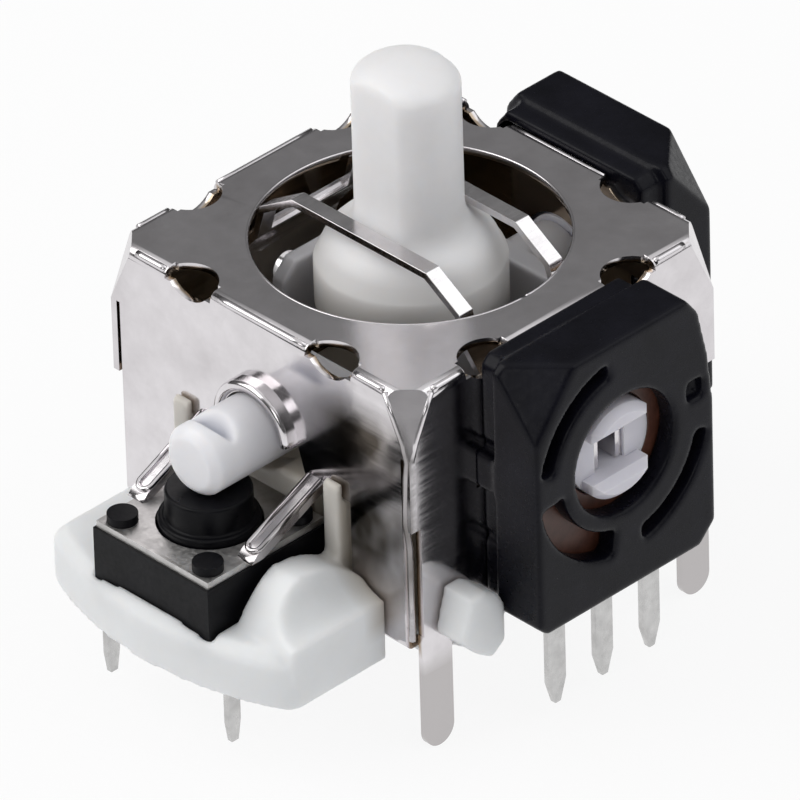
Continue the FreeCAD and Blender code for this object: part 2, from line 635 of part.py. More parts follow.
# Moulded base: floor, shelf round the switch, upright, ribs, ridge, spring well and hook.
base = new_body("base")
box(base, "-wall_inner, -step_half, 0", "wall_inner, wall_inner, base_floor")
shelf = [("-shelf_side", "-block_back"), ("-shelf_side", "-shelf_corner"),
         ("-shelf_side + shelf_round", "-shelf_corner - shelf_round / 2"),
         ("shelf_side - shelf_round", "-shelf_corner - shelf_round / 2", "shelf_arc", -1),
         ("shelf_side", "-shelf_corner"), ("shelf_side", "-block_back")]
plate = extrude(base, "z", "0", "shelf_top", [shelf])
corner_line = -num("shelf_corner") + NEAR
plate = round_off(base, plate, "shelf_round",
                  lambda edge: at(edge.Length, num("shelf_top")) and edge.BoundBox.YMax < corner_line)
round_off(base, plate, "shelf_edge",
          lambda edge: at(edge.BoundBox.ZMin, num("shelf_top")) and edge.BoundBox.YMax < corner_line,
          bevel=True)
extrude(base, "x", "ridge_near", "shelf_side",
        [[("-block_back", "base_floor / 2"), ("-shelf_corner", "base_floor / 2"),
          ("-shelf_corner", "shelf_top"), ("-ridge_centre", "ridge_top", "ridge_radius", 1),
          ("-block_back - sheet_thick", "base_floor", "ridge_radius", 1)]])
extrude(base, "y", "-beyond", "-block_back",
        [[("shelf_side", "ridge_top - ridge_soft"),
          ("shelf_side - ridge_soft", "ridge_top", "ridge_soft", 1),
          ("shelf_side - ridge_soft", "frame_height"), ("beyond", "frame_height"),
          ("beyond", "ridge_top - ridge_soft")]], cut=True)
for side in ("", "-"):
    low, high = span(side, "window_half - joint_gap", "frame_half")
    box(base, low + ", -frame_half - joint_gap, -sheet_thick",
        high + ", -block_back, pivot_height", cut=True)
box(base, "-block_half, -block_front, base_floor", "block_half, -block_back, window_top")
rib = extrude(base, "x", "rib_near", "rib_far",
              [[("-block_back", "base_floor"), ("-rib_front", "base_floor"),
                ("-rib_front", "rib_top - rib_round"), ("-rib_front + rib_round", "rib_top", "rib_round", 1),
                ("-frame_half - joint_gap", "rib_top"),
                ("-frame_half - joint_gap", "window_top - joint_gap"),
                ("-block_back", "window_top - joint_gap")]])
mirrored(base, [rib], "x")
extrude(base, "y", "-beyond", "0", [("ring", "0", "pivot_height", "shaft_radius + cradle_gap")], cut=True)
box(base, "-switch_half - switch_gap, -switch_centre - switch_half - switch_gap, switch_foot",
    "switch_half + switch_gap, -switch_centre + switch_half + switch_gap, stake_top + switch_gap", cut=True)
extrude(base, "z", "base_floor / 2", "well_top", [("ring", "0", "0", "well_radius + well_wall")])
extrude(base, "z", "well_floor", "pivot_height", [("ring", "0", "0", "well_radius")], cut=True)
extrude(base, "z", "well_floor / 2", "post_top", [("ring", "0", "0", "post_radius")])
box(base, "step_half, -hook_neck, hook_under", "frame_half + sheet_thick, -hook_near, hook_neck_top")
extrude(base, "x", "frame_half + joint_gap", "hook_reach",
        [[("-hook_far", "hook_waist"), ("-hook_neck - hook_bevel / 2", "hook_under + hook_bevel"),
          ("-hook_neck + hook_bevel", "hook_under"), ("-hook_near", "hook_under + hook_bevel"),
          ("-hook_near", "hook_top - 2 * hook_bevel"),
          ("-hook_near - hook_bevel / 2", "hook_top - hook_bevel"),
          ("-hook_near - 2 * hook_bevel", "hook_top"), ("-hook_far + hook_bevel", "hook_top")]])
for side in ("", "-"):
    low, high = span(side, "pin_row - joint_gap", "pin_row + pin_thick + joint_gap")
    for near in ("+", "-"):
        middle = "-switch_centre " + near + " pin_pitch"
        box(base, low + "," + middle + " - pin_width / 2 - joint_gap, -sheet_thick",
            high + "," + middle + " + pin_width / 2 + joint_gap, strap_top + joint_gap", cut=True)

# Stick: stem with two flats, dome, skirt, tail and cross pins.
stick = new_body("stick")
spin(stick, "z",
     [("0", "tail_foot"), ("tail_facet", "pivot_height - sqrt(tail_ball^2 - tail_facet^2)"),
      ("tail_radius", "pivot_height - sqrt(tail_ball^2 - tail_radius^2)"),
      ("tail_radius", "dome_under"), ("skirt_radius - skirt_wall", "dome_under - skirt_wall"),
      ("skirt_radius - skirt_wall", "skirt_foot"), ("skirt_radius", "skirt_foot"),
      ("skirt_radius", "dome_edge_height"), ("dome_edge_radius", "dome_edge_height"),
      ("dome_mid_radius", "dome_mid_height", "dome_edge_radius", -1),
      ("neck_radius", "neck_height", "dome_edge_radius", -1), ("stem_radius", "neck_height + stem_round"),
      ("stem_radius", "stem_top - stem_round"),
      ("shoulder_radius", "stem_top - shoulder_below"), ("crown_radius", "stem_top - crown_below"),
      ("0", "stem_top")])
for side in ("", "-"):
    low, high = span(side, "stem_flat", "skirt_radius")
    box(stick, "-skirt_radius," + low + ", flat_foot", "skirt_radius," + high + ", stem_top + stem_round",
        cut=True)
extrude(stick, "x", "-yoke_half + joint_gap", "yoke_half - joint_gap",
        [("ring", "0", "pivot_height", "pin_radius")])

# Lower yoke: ring round the stick, arm over the switch, shaft and tongue to the second sensor.
lower_yoke = new_body("lower_yoke")
box(lower_yoke, "-yoke_half, -yoke_length, pivot_height - yoke_drop",
    "yoke_half, yoke_length, arm_under + 2 * shaft_radius")
ear = [("-ear_half", "pivot_height"), ("ear_half", "pivot_height"),
       ("ear_half", "pivot_height + yoke_rise - yoke_side"),
       ("ear_half - yoke_side", "pivot_height + yoke_rise"),
       ("-ear_half + yoke_side", "pivot_height + yoke_rise"),
       ("-ear_half", "pivot_height + yoke_rise - yoke_side")]
extrude(lower_yoke, "x", "-yoke_half", "yoke_half", [ear])
box(lower_yoke, "-yoke_inner, -yoke_inner_end, 0", "yoke_inner, yoke_inner_end, frame_height", cut=True)
extrude(lower_yoke, "x", "-frame_half", "frame_half",
        [("ring", "0", "pivot_height", "pin_radius + running_gap")], cut=True)
arm = extrude(lower_yoke, "y", "-arm_reach", "-yoke_inner_end",
              [("ring", "0", "pivot_height", "shaft_radius")])
round_off(lower_yoke, arm, "arm_bevel", lambda edge: at(edge.BoundBox.YMax, -num("arm_reach")), bevel=True)
extrude(lower_yoke, "x", "-frame_half", "frame_half",
        [[("-groove_centre - groove_half", "pivot_height + shaft_radius + joint_gap"),
          ("-groove_centre", "pivot_height + shaft_radius - groove_depth"),
          ("-groove_centre + groove_half", "pivot_height + shaft_radius + joint_gap")]], cut=True)
extrude(lower_yoke, "y", "yoke_inner_end", "wall_inner", [("ring", "0", "pivot_height", "shaft_radius")])
box(lower_yoke,
    "-tongue_width / 2, wall_inner - sheet_thick, pivot_height - tongue_thick / 2 + tongue_relief",
    "tongue_width / 2, tongue_end, pivot_height + tongue_thick / 2 - tongue_relief")
extrude(lower_yoke, "x", "-tongue_width / 2", "tongue_width / 2",
        [("ring", "barrel_place", "pivot_height", "tongue_thick / 2")])

# Upper yoke: slotted arch of bent sheet, hollow eyelet one side, folded tongue the other side.
upper_yoke = new_body("upper_yoke")
arch = [("flange_reach", "pivot_height - flange_foot"), ("flange_reach", "flange_shoulder"),
        ("arch_knee", "arch_knee_height"), ("arch_steep", "arch_steep_height"),
        ("arch_slope", "arch_slope_height"), ("arch_flat", "arch_top")]
arch = arch + [("-" + x, z) for x, z in reversed(arch)]
solid = extrude(upper_yoke, "y", "-arch_half", "arch_half", [arch])
shell(upper_yoke, solid, "sheet_thick",
      lambda face: at(face.BoundBox.ZMax, num("pivot_height - flange_foot"))
      or at(face.BoundBox.YMin, num("arch_half")) or at(face.BoundBox.YMax, -num("arch_half")))
box(upper_yoke, "-slot_half_length, -slot_half_width, arch_steep_height",
    "slot_half_length, slot_half_width, arch_top + sheet_thick", cut=True)
for side in ("-", ""):
    extrude(upper_yoke, "x", "-beyond", "beyond",
            [[("0", "0"), (side + "beyond", "0"), (side + "beyond", "flange_shoulder"),
              (side + "arch_half", "flange_shoulder"), (side + "flange_foot", "pivot_height"),
              (side + "flange_foot / 2", "pivot_height - flange_foot")]], cut=True)
extrude(upper_yoke, "x", "-frame_half", "-flange_reach + sheet_thick",
        [("ring", "0", "pivot_height", "eyelet_radius")])
extrude(upper_yoke, "x", "-beyond", "-flange_reach + 2 * sheet_thick",
        [("ring", "0", "pivot_height", "eyelet_bore")], cut=True)
box(upper_yoke, "flange_reach - sheet_thick, -tongue_width / 2, pivot_height - tongue_thick / 2",
    "tongue_end, tongue_width / 2, pivot_height + tongue_thick / 2")
box(upper_yoke, "flange_reach, -tongue_width / 2 + sheet_thick, pivot_height - tongue_thick",
    "beyond, tongue_width / 2 - sheet_thick, pivot_height + tongue_thick / 2 - sheet_thick", cut=True)

# Spring and its cup.
spring_cup = new_body("spring_cup")
spin(spring_cup, "z",
     [("0", "tail_foot - cup_thick"), ("cup_radius - cup_wall", "tail_foot - cup_thick"),
      ("cup_radius - cup_wall", "cup_foot"), ("cup_radius", "cup_foot"),
      ("cup_radius", "tail_foot - cup_wall"), ("cup_radius - cup_wall", "tail_foot"), ("0", "tail_foot")])
centring_spring = new_body("centring_spring")
wire = new_sketch(centring_spring, "y")
draw(wire, [("spring_radius - wire_radius", "spring_foot - wire_radius / 2"),
            ("spring_radius", "spring_foot - wire_radius"),
            ("spring_radius + wire_radius", "spring_foot - wire_radius / 2"),
            ("spring_radius + wire_radius", "spring_foot + wire_radius / 2"),
            ("spring_radius", "spring_foot + wire_radius"),
            ("spring_radius - wire_radius", "spring_foot + wire_radius / 2")])
coil = centring_spring.newObject("PartDesign::AdditiveHelix", "centring_spring_coil")
coil.Profile = wire
coil.ReferenceAxis = (wire, ["V_Axis"])
coil.Mode = 0
coil.setExpression("Pitch", ref("spring_pitch"))
coil.setExpression("Height", ref("spring_head - spring_foot"))
doc.recompute()


def sensor(prefix, turn):
    # One rotary sensor, drawn on the +X wall and turned round the stick's axis.
    made = []

    def part(name):
        body = new_body(prefix + name)
        made.append(body)
        return body

    def outline(inset, below):
        edge = "sensor_half - " + inset
        return [("-(" + edge + ") + sensor_bevel", "sensor_foot + " + below),
                (edge + " - sensor_round", "sensor_foot + " + below),
                (edge, "sensor_foot + sensor_round + " + below), (edge, "sensor_shoulder - sensor_cut"),
                (edge + " - sensor_slope / 2", "sensor_shoulder"),
                (edge + " - sensor_slope - sensor_bevel / 2", "sensor_top - sensor_round - " + below),
                (edge + " - sensor_slope - sensor_round", "sensor_top - " + below),
                ("-(" + edge + ") + sensor_bevel", "sensor_top - " + below),
                ("-(" + edge + ")", "sensor_top - sensor_bevel - " + below),
                ("-(" + edge + ")", "sensor_foot + sensor_bevel + " + below)]

    def inside(gap):
        edge = "sensor_half - sensor_wall - " + gap
        return [("-(" + edge + ")", "sensor_foot + sensor_wall + " + gap),
                (edge + " - sensor_round / 2", "sensor_foot + sensor_wall + " + gap),
                (edge, "sensor_foot + sensor_wall + sensor_round / 2 + " + gap), (edge, "sensor_shoulder"),
                (edge + " - sensor_slope", "sensor_top - sensor_wall - sensor_round / 2 - " + gap),
                (edge + " - sensor_slope - sensor_round / 2", "sensor_top - sensor_wall - " + gap),
                ("-(" + edge + ") + sensor_cut", "sensor_top - sensor_wall - " + gap),
                ("-(" + edge + ")", "sensor_shoulder - sensor_wall")]

    housing = part("housing")
    extrude(housing, "x", "sensor_step", "sensor_front", [outline("0", "0")])
    extrude(housing, "x", "frame_half", "sensor_step",
            [outline("sensor_rear_inset", "sensor_rear_inset / 2")])
    corner = [vector(num("sensor_front"), num("-sensor_half + sensor_cut"), num("sensor_top")),
              vector(num("sensor_front"), -num("sensor_half"), num("sensor_shoulder")),
              vector(num("sensor_step"), -num("sensor_half"), num("sensor_top"))]
    slice_off(housing, corner[0], (corner[2] - corner[0]).cross(corner[1] - corner[0]), "sensor_half")
    extrude(housing, "x", "wall_inner", "cover_back", [inside("0")], cut=True)
    extrude(housing, "x", "board_back", "beyond", [("ring", "0", "pivot_height", "eye_radius")], cut=True)
    for place, inner, outer in (("low", "arc_inner", "arc_outer"),
                                ("left", "slender_inner", "slender_outer"),
                                ("right", "slender_inner", "slender_outer")):
        window_ring = [("board_back", inner), ("beyond", inner), ("beyond", outer), ("board_back", outer)]
        spin(housing, "x", window_ring, "pivot_height", cut=True,
             turn=FreeCAD.Rotation(vector(1, 0, 0), num(place + "_start")), angle=num(place + "_sweep"))
    box(housing,
        "sensor_front - dimple_depth, dimple_offset - dimple_size / 2, dimple_foot",
        "beyond, dimple_offset + dimple_size / 2, dimple_foot + dimple_size", cut=True)
    for place in ("pivot_height + clip_rise", "pivot_height - clip_drop"):
        box(housing, "wall_inner, -sensor_half - joint_gap," + place + " - clip_width / 2",
            "sensor_step, -sensor_half + clip_depth," + place + " + clip_width / 2", cut=True)
    for place in ("-terminal_pitch", "0", "terminal_pitch"):
        low, high = (place + " - terminal_slot / 2, 0", place + " + terminal_slot / 2,")
        box(housing, "board_back - terminal_thick - terminal_slot_gap," + low,
            "board_back + terminal_slot_gap," + high + "sensor_foot + 2 * sensor_wall", cut=True)
    pegs = box(housing, "wall_inner, peg_offset - peg_width / 2, pivot_height - peg_height / 2",
               "sensor_step, peg_offset + peg_width / 2, pivot_height + peg_height / 2")
    mirrored(housing, [pegs], "y")

    board = part("board")
    extrude(board, "x", "board_back", "cover_back",
            [inside("board_gap"), ("ring", "0", "pivot_height", "rotor_radius + running_gap")])

    rotor = part("rotor")
    extrude(rotor, "x", "flange_back", "cheek_front", [("ring", "0", "pivot_height", "rotor_radius")])
    extrude(rotor, "x", "flange_back", "flange_front", [("ring", "0", "pivot_height", "rotor_flange")])
    extrude(rotor, "x", "wall_inner + joint_gap", "flange_back",
            [("ring", "0", "pivot_height", "rotor_tail")])
    lobe_side = "sqrt(rotor_radius^2 - lobe_half^2)"
    lobes = extrude(rotor, "x", "cheek_front", "rotor_front",
                    [[("-lobe_half", "pivot_height + notch_half + tongue_gap"),
                      ("lobe_half", "pivot_height + notch_half + tongue_gap"),
                      ("lobe_half", "pivot_height + " + lobe_side),
                      ("-lobe_half", "pivot_height + " + lobe_side, "rotor_radius", -1)],
                     [("-lobe_half", "pivot_height - " + lobe_side),
                      ("lobe_half", "pivot_height - " + lobe_side, "rotor_radius", -1),
                      ("lobe_half", "pivot_height - notch_half - tongue_gap"),
                      ("-lobe_half", "pivot_height - notch_half - tongue_gap")]])
    round_off(rotor, lobes, "lobe_bevel",
              lambda edge: at(edge.BoundBox.XMin, num("rotor_front")), bevel=True)
    box(rotor, "0, -tongue_width / 2 - tongue_gap, pivot_height - tongue_thick / 2 - tongue_gap",
        "beyond, tongue_width / 2 + tongue_gap, pivot_height + tongue_thick / 2 + tongue_gap", cut=True)

    wiper = part("wiper")
    extrude(wiper, "x", "flange_front", "wiper_front",
            [("ring", "0", "pivot_height", "wiper_outer"), ("ring", "0", "pivot_height", "wiper_inner")])
    for place in ("pivot_height + wiper_inner", "pivot_height - wiper_outer"):
        box(wiper, "flange_front, -wiper_finger / 2," + place,
            "board_back - wiper_air, wiper_finger / 2," + place + " + wiper_outer - wiper_inner")

    for number, place in enumerate(("-terminal_pitch", "0", "terminal_pitch"), start=1):
        terminal = part("terminal_%d" % number)
        extrude(terminal, "x", "board_back - terminal_thick", "board_back",
                [[(place + " - terminal_width / 2", "terminal_head"),
                  (place + " - terminal_width / 2", "terminal_taper - terminal_tip"),
                  (place + " - terminal_point / 2", "-terminal_tip"),
                  (place + " + terminal_point / 2", "-terminal_tip"),
                  (place + " + terminal_width / 2", "terminal_taper - terminal_tip"),
                  (place + " + terminal_width / 2", "terminal_head")]])
    for body in made:
        body.Placement = FreeCAD.Placement(vector(0, 0, 0), FreeCAD.Rotation(vector(0, 0, 1), turn))
    doc.recompute()
    return made


sensors = sensor("pot_x_", 0.0) + sensor("pot_y_", num("quarter_turn"))

# Push switch.
switch_body = new_body("switch_body")
box(switch_body, "-switch_half, -switch_centre - switch_half, switch_foot",
    "switch_half, -switch_centre + switch_half, switch_top")
extrude(switch_body, "z", "cavity_floor", "pivot_height",
        [("ring", "0", "-switch_centre", "cavity_radius")], cut=True)
for side in ("", "-"):
    low, high = span(side, "strap_near", "switch_half + switch_gap")
    box(switch_body, low + ", -switch_centre - pin_pitch - pin_width / 2, 0",
        high + ", -switch_centre + pin_pitch + pin_width / 2, strap_top", cut=True)
heads = [("ring", side + "stake_offset", "-switch_centre " + near + " stake_offset", "stake_radius")
         for side in ("", "-") for near in ("+", "-")]
extrude(switch_body, "z", "switch_top - sheet_thick", "stake_top", heads)
switch_cover = new_body("switch_cover")
extrude(switch_cover, "z", "switch_top", "lid_top",
        [[("-lid_half", "-switch_centre - lid_half"), ("lid_half", "-switch_centre - lid_half"),
          ("lid_half", "-switch_centre + lid_half"), ("-lid_half", "-switch_centre + lid_half")],
         ("ring", "0", "-switch_centre", "lid_hole")] + heads)
switch_plunger = new_body("switch_plunger")
extrude(switch_plunger, "z", "button_foot", "arm_under", [("ring", "0", "-switch_centre", "button_radius")])
extrude(switch_plunger, "z", "button_flange_foot", "button_flange_top",
        [("ring", "0", "-switch_centre", "button_flange")])
switch_dome = new_body("switch_dome")
extrude(switch_dome, "z", "cavity_floor", "cavity_floor + snap_thick",
        [("ring", "0", "-switch_centre", "snap_radius")])
straps = []
for side, name in (("", "switch_terminal_right"), ("-", "switch_terminal_left")):
    strap = new_body(name)
    low, high = span(side, "strap_near", "switch_half")
    box(strap, low + ", -switch_centre - pin_pitch - pin_width / 2, strap_top - pin_thick",
        high + ", -switch_centre + pin_pitch + pin_width / 2, strap_top")
    pins = []
    for near in ("+", "-"):
        middle = "-switch_centre " + near + " pin_pitch"
        low, high = span(side, "strap_near", "pin_row + pin_thick")
        box(strap, low + "," + middle + " - pin_width / 2, strap_top - pin_thick",
            high + "," + middle + " + pin_width / 2, strap_top")
        pins.append([(middle + " - pin_width / 2", "strap_top"),
                     (middle + " - pin_width / 2", "pin_taper - pin_tip"),
                     (middle + " - pin_point / 2", "-pin_tip"), (middle + " + pin_point / 2", "-pin_tip"),
                     (middle + " + pin_width / 2", "pin_taper - pin_tip"),
                     (middle + " + pin_width / 2", "strap_top")])
    low, high = span(side, "pin_row", "pin_row + pin_thick")
    extrude(strap, "x", low, high, pins)
    straps.append(strap)

bodies = [frame, base, stick, lower_yoke, upper_yoke, spring_cup, centring_spring] + sensors + [
    switch_body, switch_cover, switch_plunger, switch_dome] + straps

# Each piece must be sound before it is written out.
for item in doc.Objects:
    if "Invalid" in item.State or "Error" in item.State:
        raise RuntimeError(item.Label + " is not sound: " + str(item.State))
os.makedirs("parts", exist_ok=True)
for body in bodies:
    shape = body.Shape
    if shape.isNull() or not shape.isValid() or len(shape.Solids) != 1:
        raise RuntimeError(body.Label + " has no single sound solid: %d" % len(shape.Solids))
    shape.exportStep("parts/" + body.Label + ".step")
    print(body.Label, round(shape.Volume, 2), [round(v, 2) for v in (
        shape.BoundBox.XMin, shape.BoundBox.XMax, shape.BoundBox.YMin, shape.BoundBox.YMax,
        shape.BoundBox.ZMin, shape.BoundBox.ZMax)])
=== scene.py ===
import math
import bmesh
import bpy
from mathutils import Matrix, Vector


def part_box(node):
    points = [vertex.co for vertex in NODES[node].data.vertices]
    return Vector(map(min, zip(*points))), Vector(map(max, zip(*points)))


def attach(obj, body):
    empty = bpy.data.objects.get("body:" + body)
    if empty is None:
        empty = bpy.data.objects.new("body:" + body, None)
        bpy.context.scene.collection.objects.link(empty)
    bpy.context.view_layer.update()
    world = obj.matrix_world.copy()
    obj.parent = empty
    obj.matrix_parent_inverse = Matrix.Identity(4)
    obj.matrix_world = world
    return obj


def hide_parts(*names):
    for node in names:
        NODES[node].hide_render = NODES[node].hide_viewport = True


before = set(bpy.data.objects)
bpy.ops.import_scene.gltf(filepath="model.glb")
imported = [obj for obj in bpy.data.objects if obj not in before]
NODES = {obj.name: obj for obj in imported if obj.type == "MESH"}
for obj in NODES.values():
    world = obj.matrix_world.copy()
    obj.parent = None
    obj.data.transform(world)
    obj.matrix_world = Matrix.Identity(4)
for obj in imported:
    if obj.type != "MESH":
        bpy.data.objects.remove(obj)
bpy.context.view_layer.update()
scene = bpy.context.scene
SENSORS = ("pot_x_", "pot_y_")
TERMINALS = (1, 2, 3)
MM = 0.001

# Sizes in millimetres. Z is up from the circuit board, the stick's axis is at x = y = 0.
HALF_WIDTH = 8.0
FRAME_TOP = 12.2
PIVOT_UP = 7.52
CORNER_CUT = 1.25
CORNER_DROP = 2.7
LEG_TIPS = -3.85

# Camera, where the photograph was taken from.
PHOTO_SIZE = 800
SENSOR_WIDTH = 36.0
FOCAL_PIXELS = 15315.2
CAMERA_AT = (0.345943, -0.328485, 0.330131)
CAMERA_RIGHT = (0.69971854, 0.71396446, -0.02546988)
CAMERA_UP = (-0.3880296, 0.40973803, 0.82555907)
CAMERA_BACK = (0.59985581, -0.56777592, 0.56374064)
CAMERA_SHIFT = (4.765 / PHOTO_SIZE, 2.655 / PHOTO_SIZE)
NEAREST_SEEN = 0.01

camera_data = bpy.data.cameras.new("camera")
camera_data.sensor_width = SENSOR_WIDTH
camera_data.lens = FOCAL_PIXELS / PHOTO_SIZE * SENSOR_WIDTH
camera_data.shift_x, camera_data.shift_y = CAMERA_SHIFT
camera_data.clip_start = NEAREST_SEEN
camera = bpy.data.objects.new("camera", camera_data)
scene.collection.objects.link(camera)
camera.matrix_world = Matrix([
    [CAMERA_RIGHT[i], CAMERA_UP[i], CAMERA_BACK[i], CAMERA_AT[i]] for i in range(3)] + [[0, 0, 0, 1]])
scene.camera = camera
scene.view_settings.view_transform = "Standard"


# Materials.
class Shader:
    """A material's node tree with a Principled shader and short ways to add to it."""

    def __init__(self, name, metallic, rough):
        self.material = bpy.data.materials.new(name)
        self.material.use_nodes = True
        self.tree = self.material.node_tree
        self.main = self.tree.nodes["Principled BSDF"]
        self.main.inputs["Metallic"].default_value = metallic
        self.main.inputs["Roughness"].default_value = rough
        self.coords = self.tree.nodes.new("ShaderNodeTexCoord").outputs["Object"]

    def add(self, kind, **settings):
        node = self.tree.nodes.new(kind)
        for key, value in settings.items():
            setattr(node, key, value)
        return node

    def link(self, source, target):
        self.tree.links.new(source, target)

    def noise(self, scale, detail=4.0, rough=0.5, stretch=(1, 1, 1)):
        """Noise in object space; scale is in lumps per millimetre."""
        mapping = self.add("ShaderNodeMapping")
        mapping.inputs["Scale"].default_value = [s / MM for s in stretch]
        self.link(self.coords, mapping.inputs["Vector"])
        noise = self.add("ShaderNodeTexNoise")
        noise.inputs["Scale"].default_value = scale
        noise.inputs["Detail"].default_value = detail
        noise.inputs["Roughness"].default_value = rough
        self.link(mapping.outputs["Vector"], noise.inputs["Vector"])
        return noise.outputs["Fac"]

    def ramp(self, source, stops):
        """Colours, or plain values, at stops along the source's 0 to 1."""
        node = self.add("ShaderNodeValToRGB")
        for place, (at, value) in enumerate(stops):
            element = node.color_ramp.elements[place]
            element.position = at
            colour = value if isinstance(value, tuple) else (value, value, value)
            element.color = (*colour, 1.0)
        self.link(source, node.inputs["Fac"])
        return node.outputs["Color"]

    def bump(self, source, height, strength):
        """Stacks a bump on those already there; height is in millimetres."""
        node = self.add("ShaderNodeBump")
        node.inputs["Strength"].default_value = strength
        node.inputs["Distance"].default_value = height * MM
        self.link(source, node.inputs["Height"])
        if self.main.inputs["Normal"].links:
            self.link(self.main.inputs["Normal"].links[0].from_socket, node.inputs["Normal"])
        self.link(node.outputs["Normal"], self.main.inputs["Normal"])

    def drive(self, socket, source):
        self.link(source, self.main.inputs[socket])

    def maths(self, operation, first, second=None):
        node = self.add("ShaderNodeMath", operation=operation)
        for place, value in enumerate((first, second)):
            if isinstance(value, (int, float)):
                node.inputs[place].default_value = value
            elif value is not None:
                self.link(value, node.inputs[place])
        return node.outputs[0]

    def both(self, *shares):
        product = shares[0]
        for share in shares[1:]:
            product = self.maths("MULTIPLY", product, share)
        return product

    def either(self, *shares):
        largest = shares[0]
        for share in shares[1:]:
            largest = self.maths("MAXIMUM", largest, share)
        return largest

    def size_of(self, value):
        return self.maths("ABSOLUTE", value)

    def places(self):
        """The object's x, y and z in millimetres."""
        split = self.add("ShaderNodeSeparateXYZ")
        self.link(self.coords, split.inputs["Vector"])
        return [self.maths("MULTIPLY", axis, 1 / MM) for axis in split.outputs]

    def between(self, value, none, full):
        """0 at none, 1 at full, and even between them."""
        node = self.add("ShaderNodeMapRange")
        node.inputs["From Min"].default_value = none
        node.inputs["From Max"].default_value = full
        self.link(value, node.inputs["Value"])
        return node.outputs["Result"]

    def blend(self, share, first, second):
        """The first colour where share is 0, the second where it is 1."""
        node = self.add("ShaderNodeMix", data_type="RGBA")
        self.link(share, node.inputs[0])
        for place, value in ((6, first), (7, second)):
            if isinstance(value, tuple):
                node.inputs[place].default_value = (*value, 1.0)
            else:
                self.link(value, node.inputs[place])
        return node.outputs[2]


def frame_nickel():
    # Bright plating over a rolled sheet: slow waves, fine rolling lines, cloudy stains.
    s = Shader("nickel", metallic=1.0, rough=0.12)
    x, y, z = s.places()
    cloud = s.noise(0.45, 5.0, 0.6)
    skin = s.ramp(cloud, [(0.3, (0.62, 0.595, 0.61)), (0.7, (0.76, 0.735, 0.755))])
    # Painted dark reflection on the switch's wall, in blotches, between the collar and the corner.
    reflection_blotch = s.between(s.noise(0.28, 3.0, 0.5, (1.0, 1.0, 0.7)), 0.24, 0.54)
    painted_reflection = s.both(s.between(x, 2.2, 4.4), s.between(z, 11.4, 9.8), s.between(z, 2.4, 4.6),
                   s.between(y, -7.7, -7.95), reflection_blotch)
    skin = s.blend(painted_reflection, skin, (0.07, 0.06, 0.05))
    # The legs, below the board, are darker than the walls.
    skin = s.blend(s.between(z, 0.4, -0.4), skin, (0.5, 0.48, 0.48))
    # The inner faces are brown: all but the walls' outside, the top, the facets and the legs.
    farther = s.either(s.size_of(x), s.size_of(y))
    nearer_corner = s.maths("ADD", s.maths("ADD", s.size_of(x), s.size_of(y)),
                            s.maths("MULTIPLY", z, CORNER_CUT / CORNER_DROP))
    facet = s.between(nearer_corner, 20.2, 20.32)
    outside = s.either(s.between(farther, 7.78, 7.9), s.between(z, 12.0, 12.1), s.between(z, 0.9, 0.3), facet)
    s.drive("Base Color", s.blend(outside, (0.36, 0.29, 0.22), skin))
    # Satin on the top and on the corner facets, where the sheet was drawn.
    satin = s.either(s.between(z, 12.05, 12.15), facet)
    streak = s.noise(1.2, 3.0, 0.6, (0.25, 0.25, 6.0))
    s.drive("Roughness", s.blend(satin, s.ramp(streak, [(0.3, 0.09), (0.75, 0.2)]), (0.22, 0.22, 0.22)))
    s.bump(s.noise(0.35, 2.0), 0.05, 0.35)
    s.bump(s.noise(9.0, 3.0, 0.6), 0.002, 0.25)
    return s.material


def arch_nickel():
    # The upper yoke: the same plating, finer and brighter.
    s = Shader("bright_sheet", metallic=1.0, rough=0.16)
    s.drive("Base Color", s.ramp(s.noise(0.8), [(0.3, (0.62, 0.6, 0.61)), (0.7, (0.8, 0.78, 0.79))]))
    s.drive("Roughness", s.ramp(s.noise(3.0, 3.0, 0.6, (4.0, 0.4, 1.0)), [(0.3, 0.12), (0.7, 0.26)]))
    s.bump(s.noise(2.0, 3.0), 0.01, 0.3)
    return s.material


def white_plastic(name, tint, depth, rough, shading=None):
    # Unfilled nylon: light passes a little way in, with faint flow clouds and a satin skin.
    s = Shader(name, metallic=0.0, rough=rough)
    s.main.inputs["Subsurface Weight"].default_value = 1.0
    s.main.inputs["Subsurface Radius"].default_value = (1.0, 0.95, 0.9)
    s.main.inputs["Subsurface Scale"].default_value = depth * MM
    s.main.inputs["IOR"].default_value = 1.5
    cloud_tint = tuple(c * 0.955 for c in tint)
    skin = s.ramp(s.noise(0.35, 4.0, 0.6), [(0.35, cloud_tint), (0.7, tint)])
    if shading:
        skin = shading(s, skin)
    s.drive("Base Color", skin)
    s.drive("Roughness", s.ramp(s.noise(4.0), [(0.3, rough - 0.05), (0.7, rough + 0.08)]))
    s.bump(s.noise(1.1, 2.0), 0.02, 0.3)
    s.bump(s.noise(14.0, 4.0, 0.65), 0.004, 0.35)
    return s.material


def skirt_painted_shade(s, skin):
    # Painted shade and reflection: down inside the frame the skirt darkens to the walls' brown.
    z = s.places()[2]
    return s.blend(s.between(z, 12.6, 9.6), skin, (0.62, 0.6, 0.57))


def shade_near_wall(s, start, end):
    """Where shade is painted: the plastic from the switch towards the wall, above the board and inside the
    frame's sides.
    """
    x, y, z = s.places()
    return s.both(s.between(y, start, end), s.between(x, 8.3, 7.6), s.between(z, 1.0, 1.8))


def rib_painted_shade(s, skin):
    # Painted shade and reflected brown on the base's rib near the wall.
    return s.blend(shade_near_wall(s, -9.2, -8.0), skin, (0.5, 0.46, 0.4))


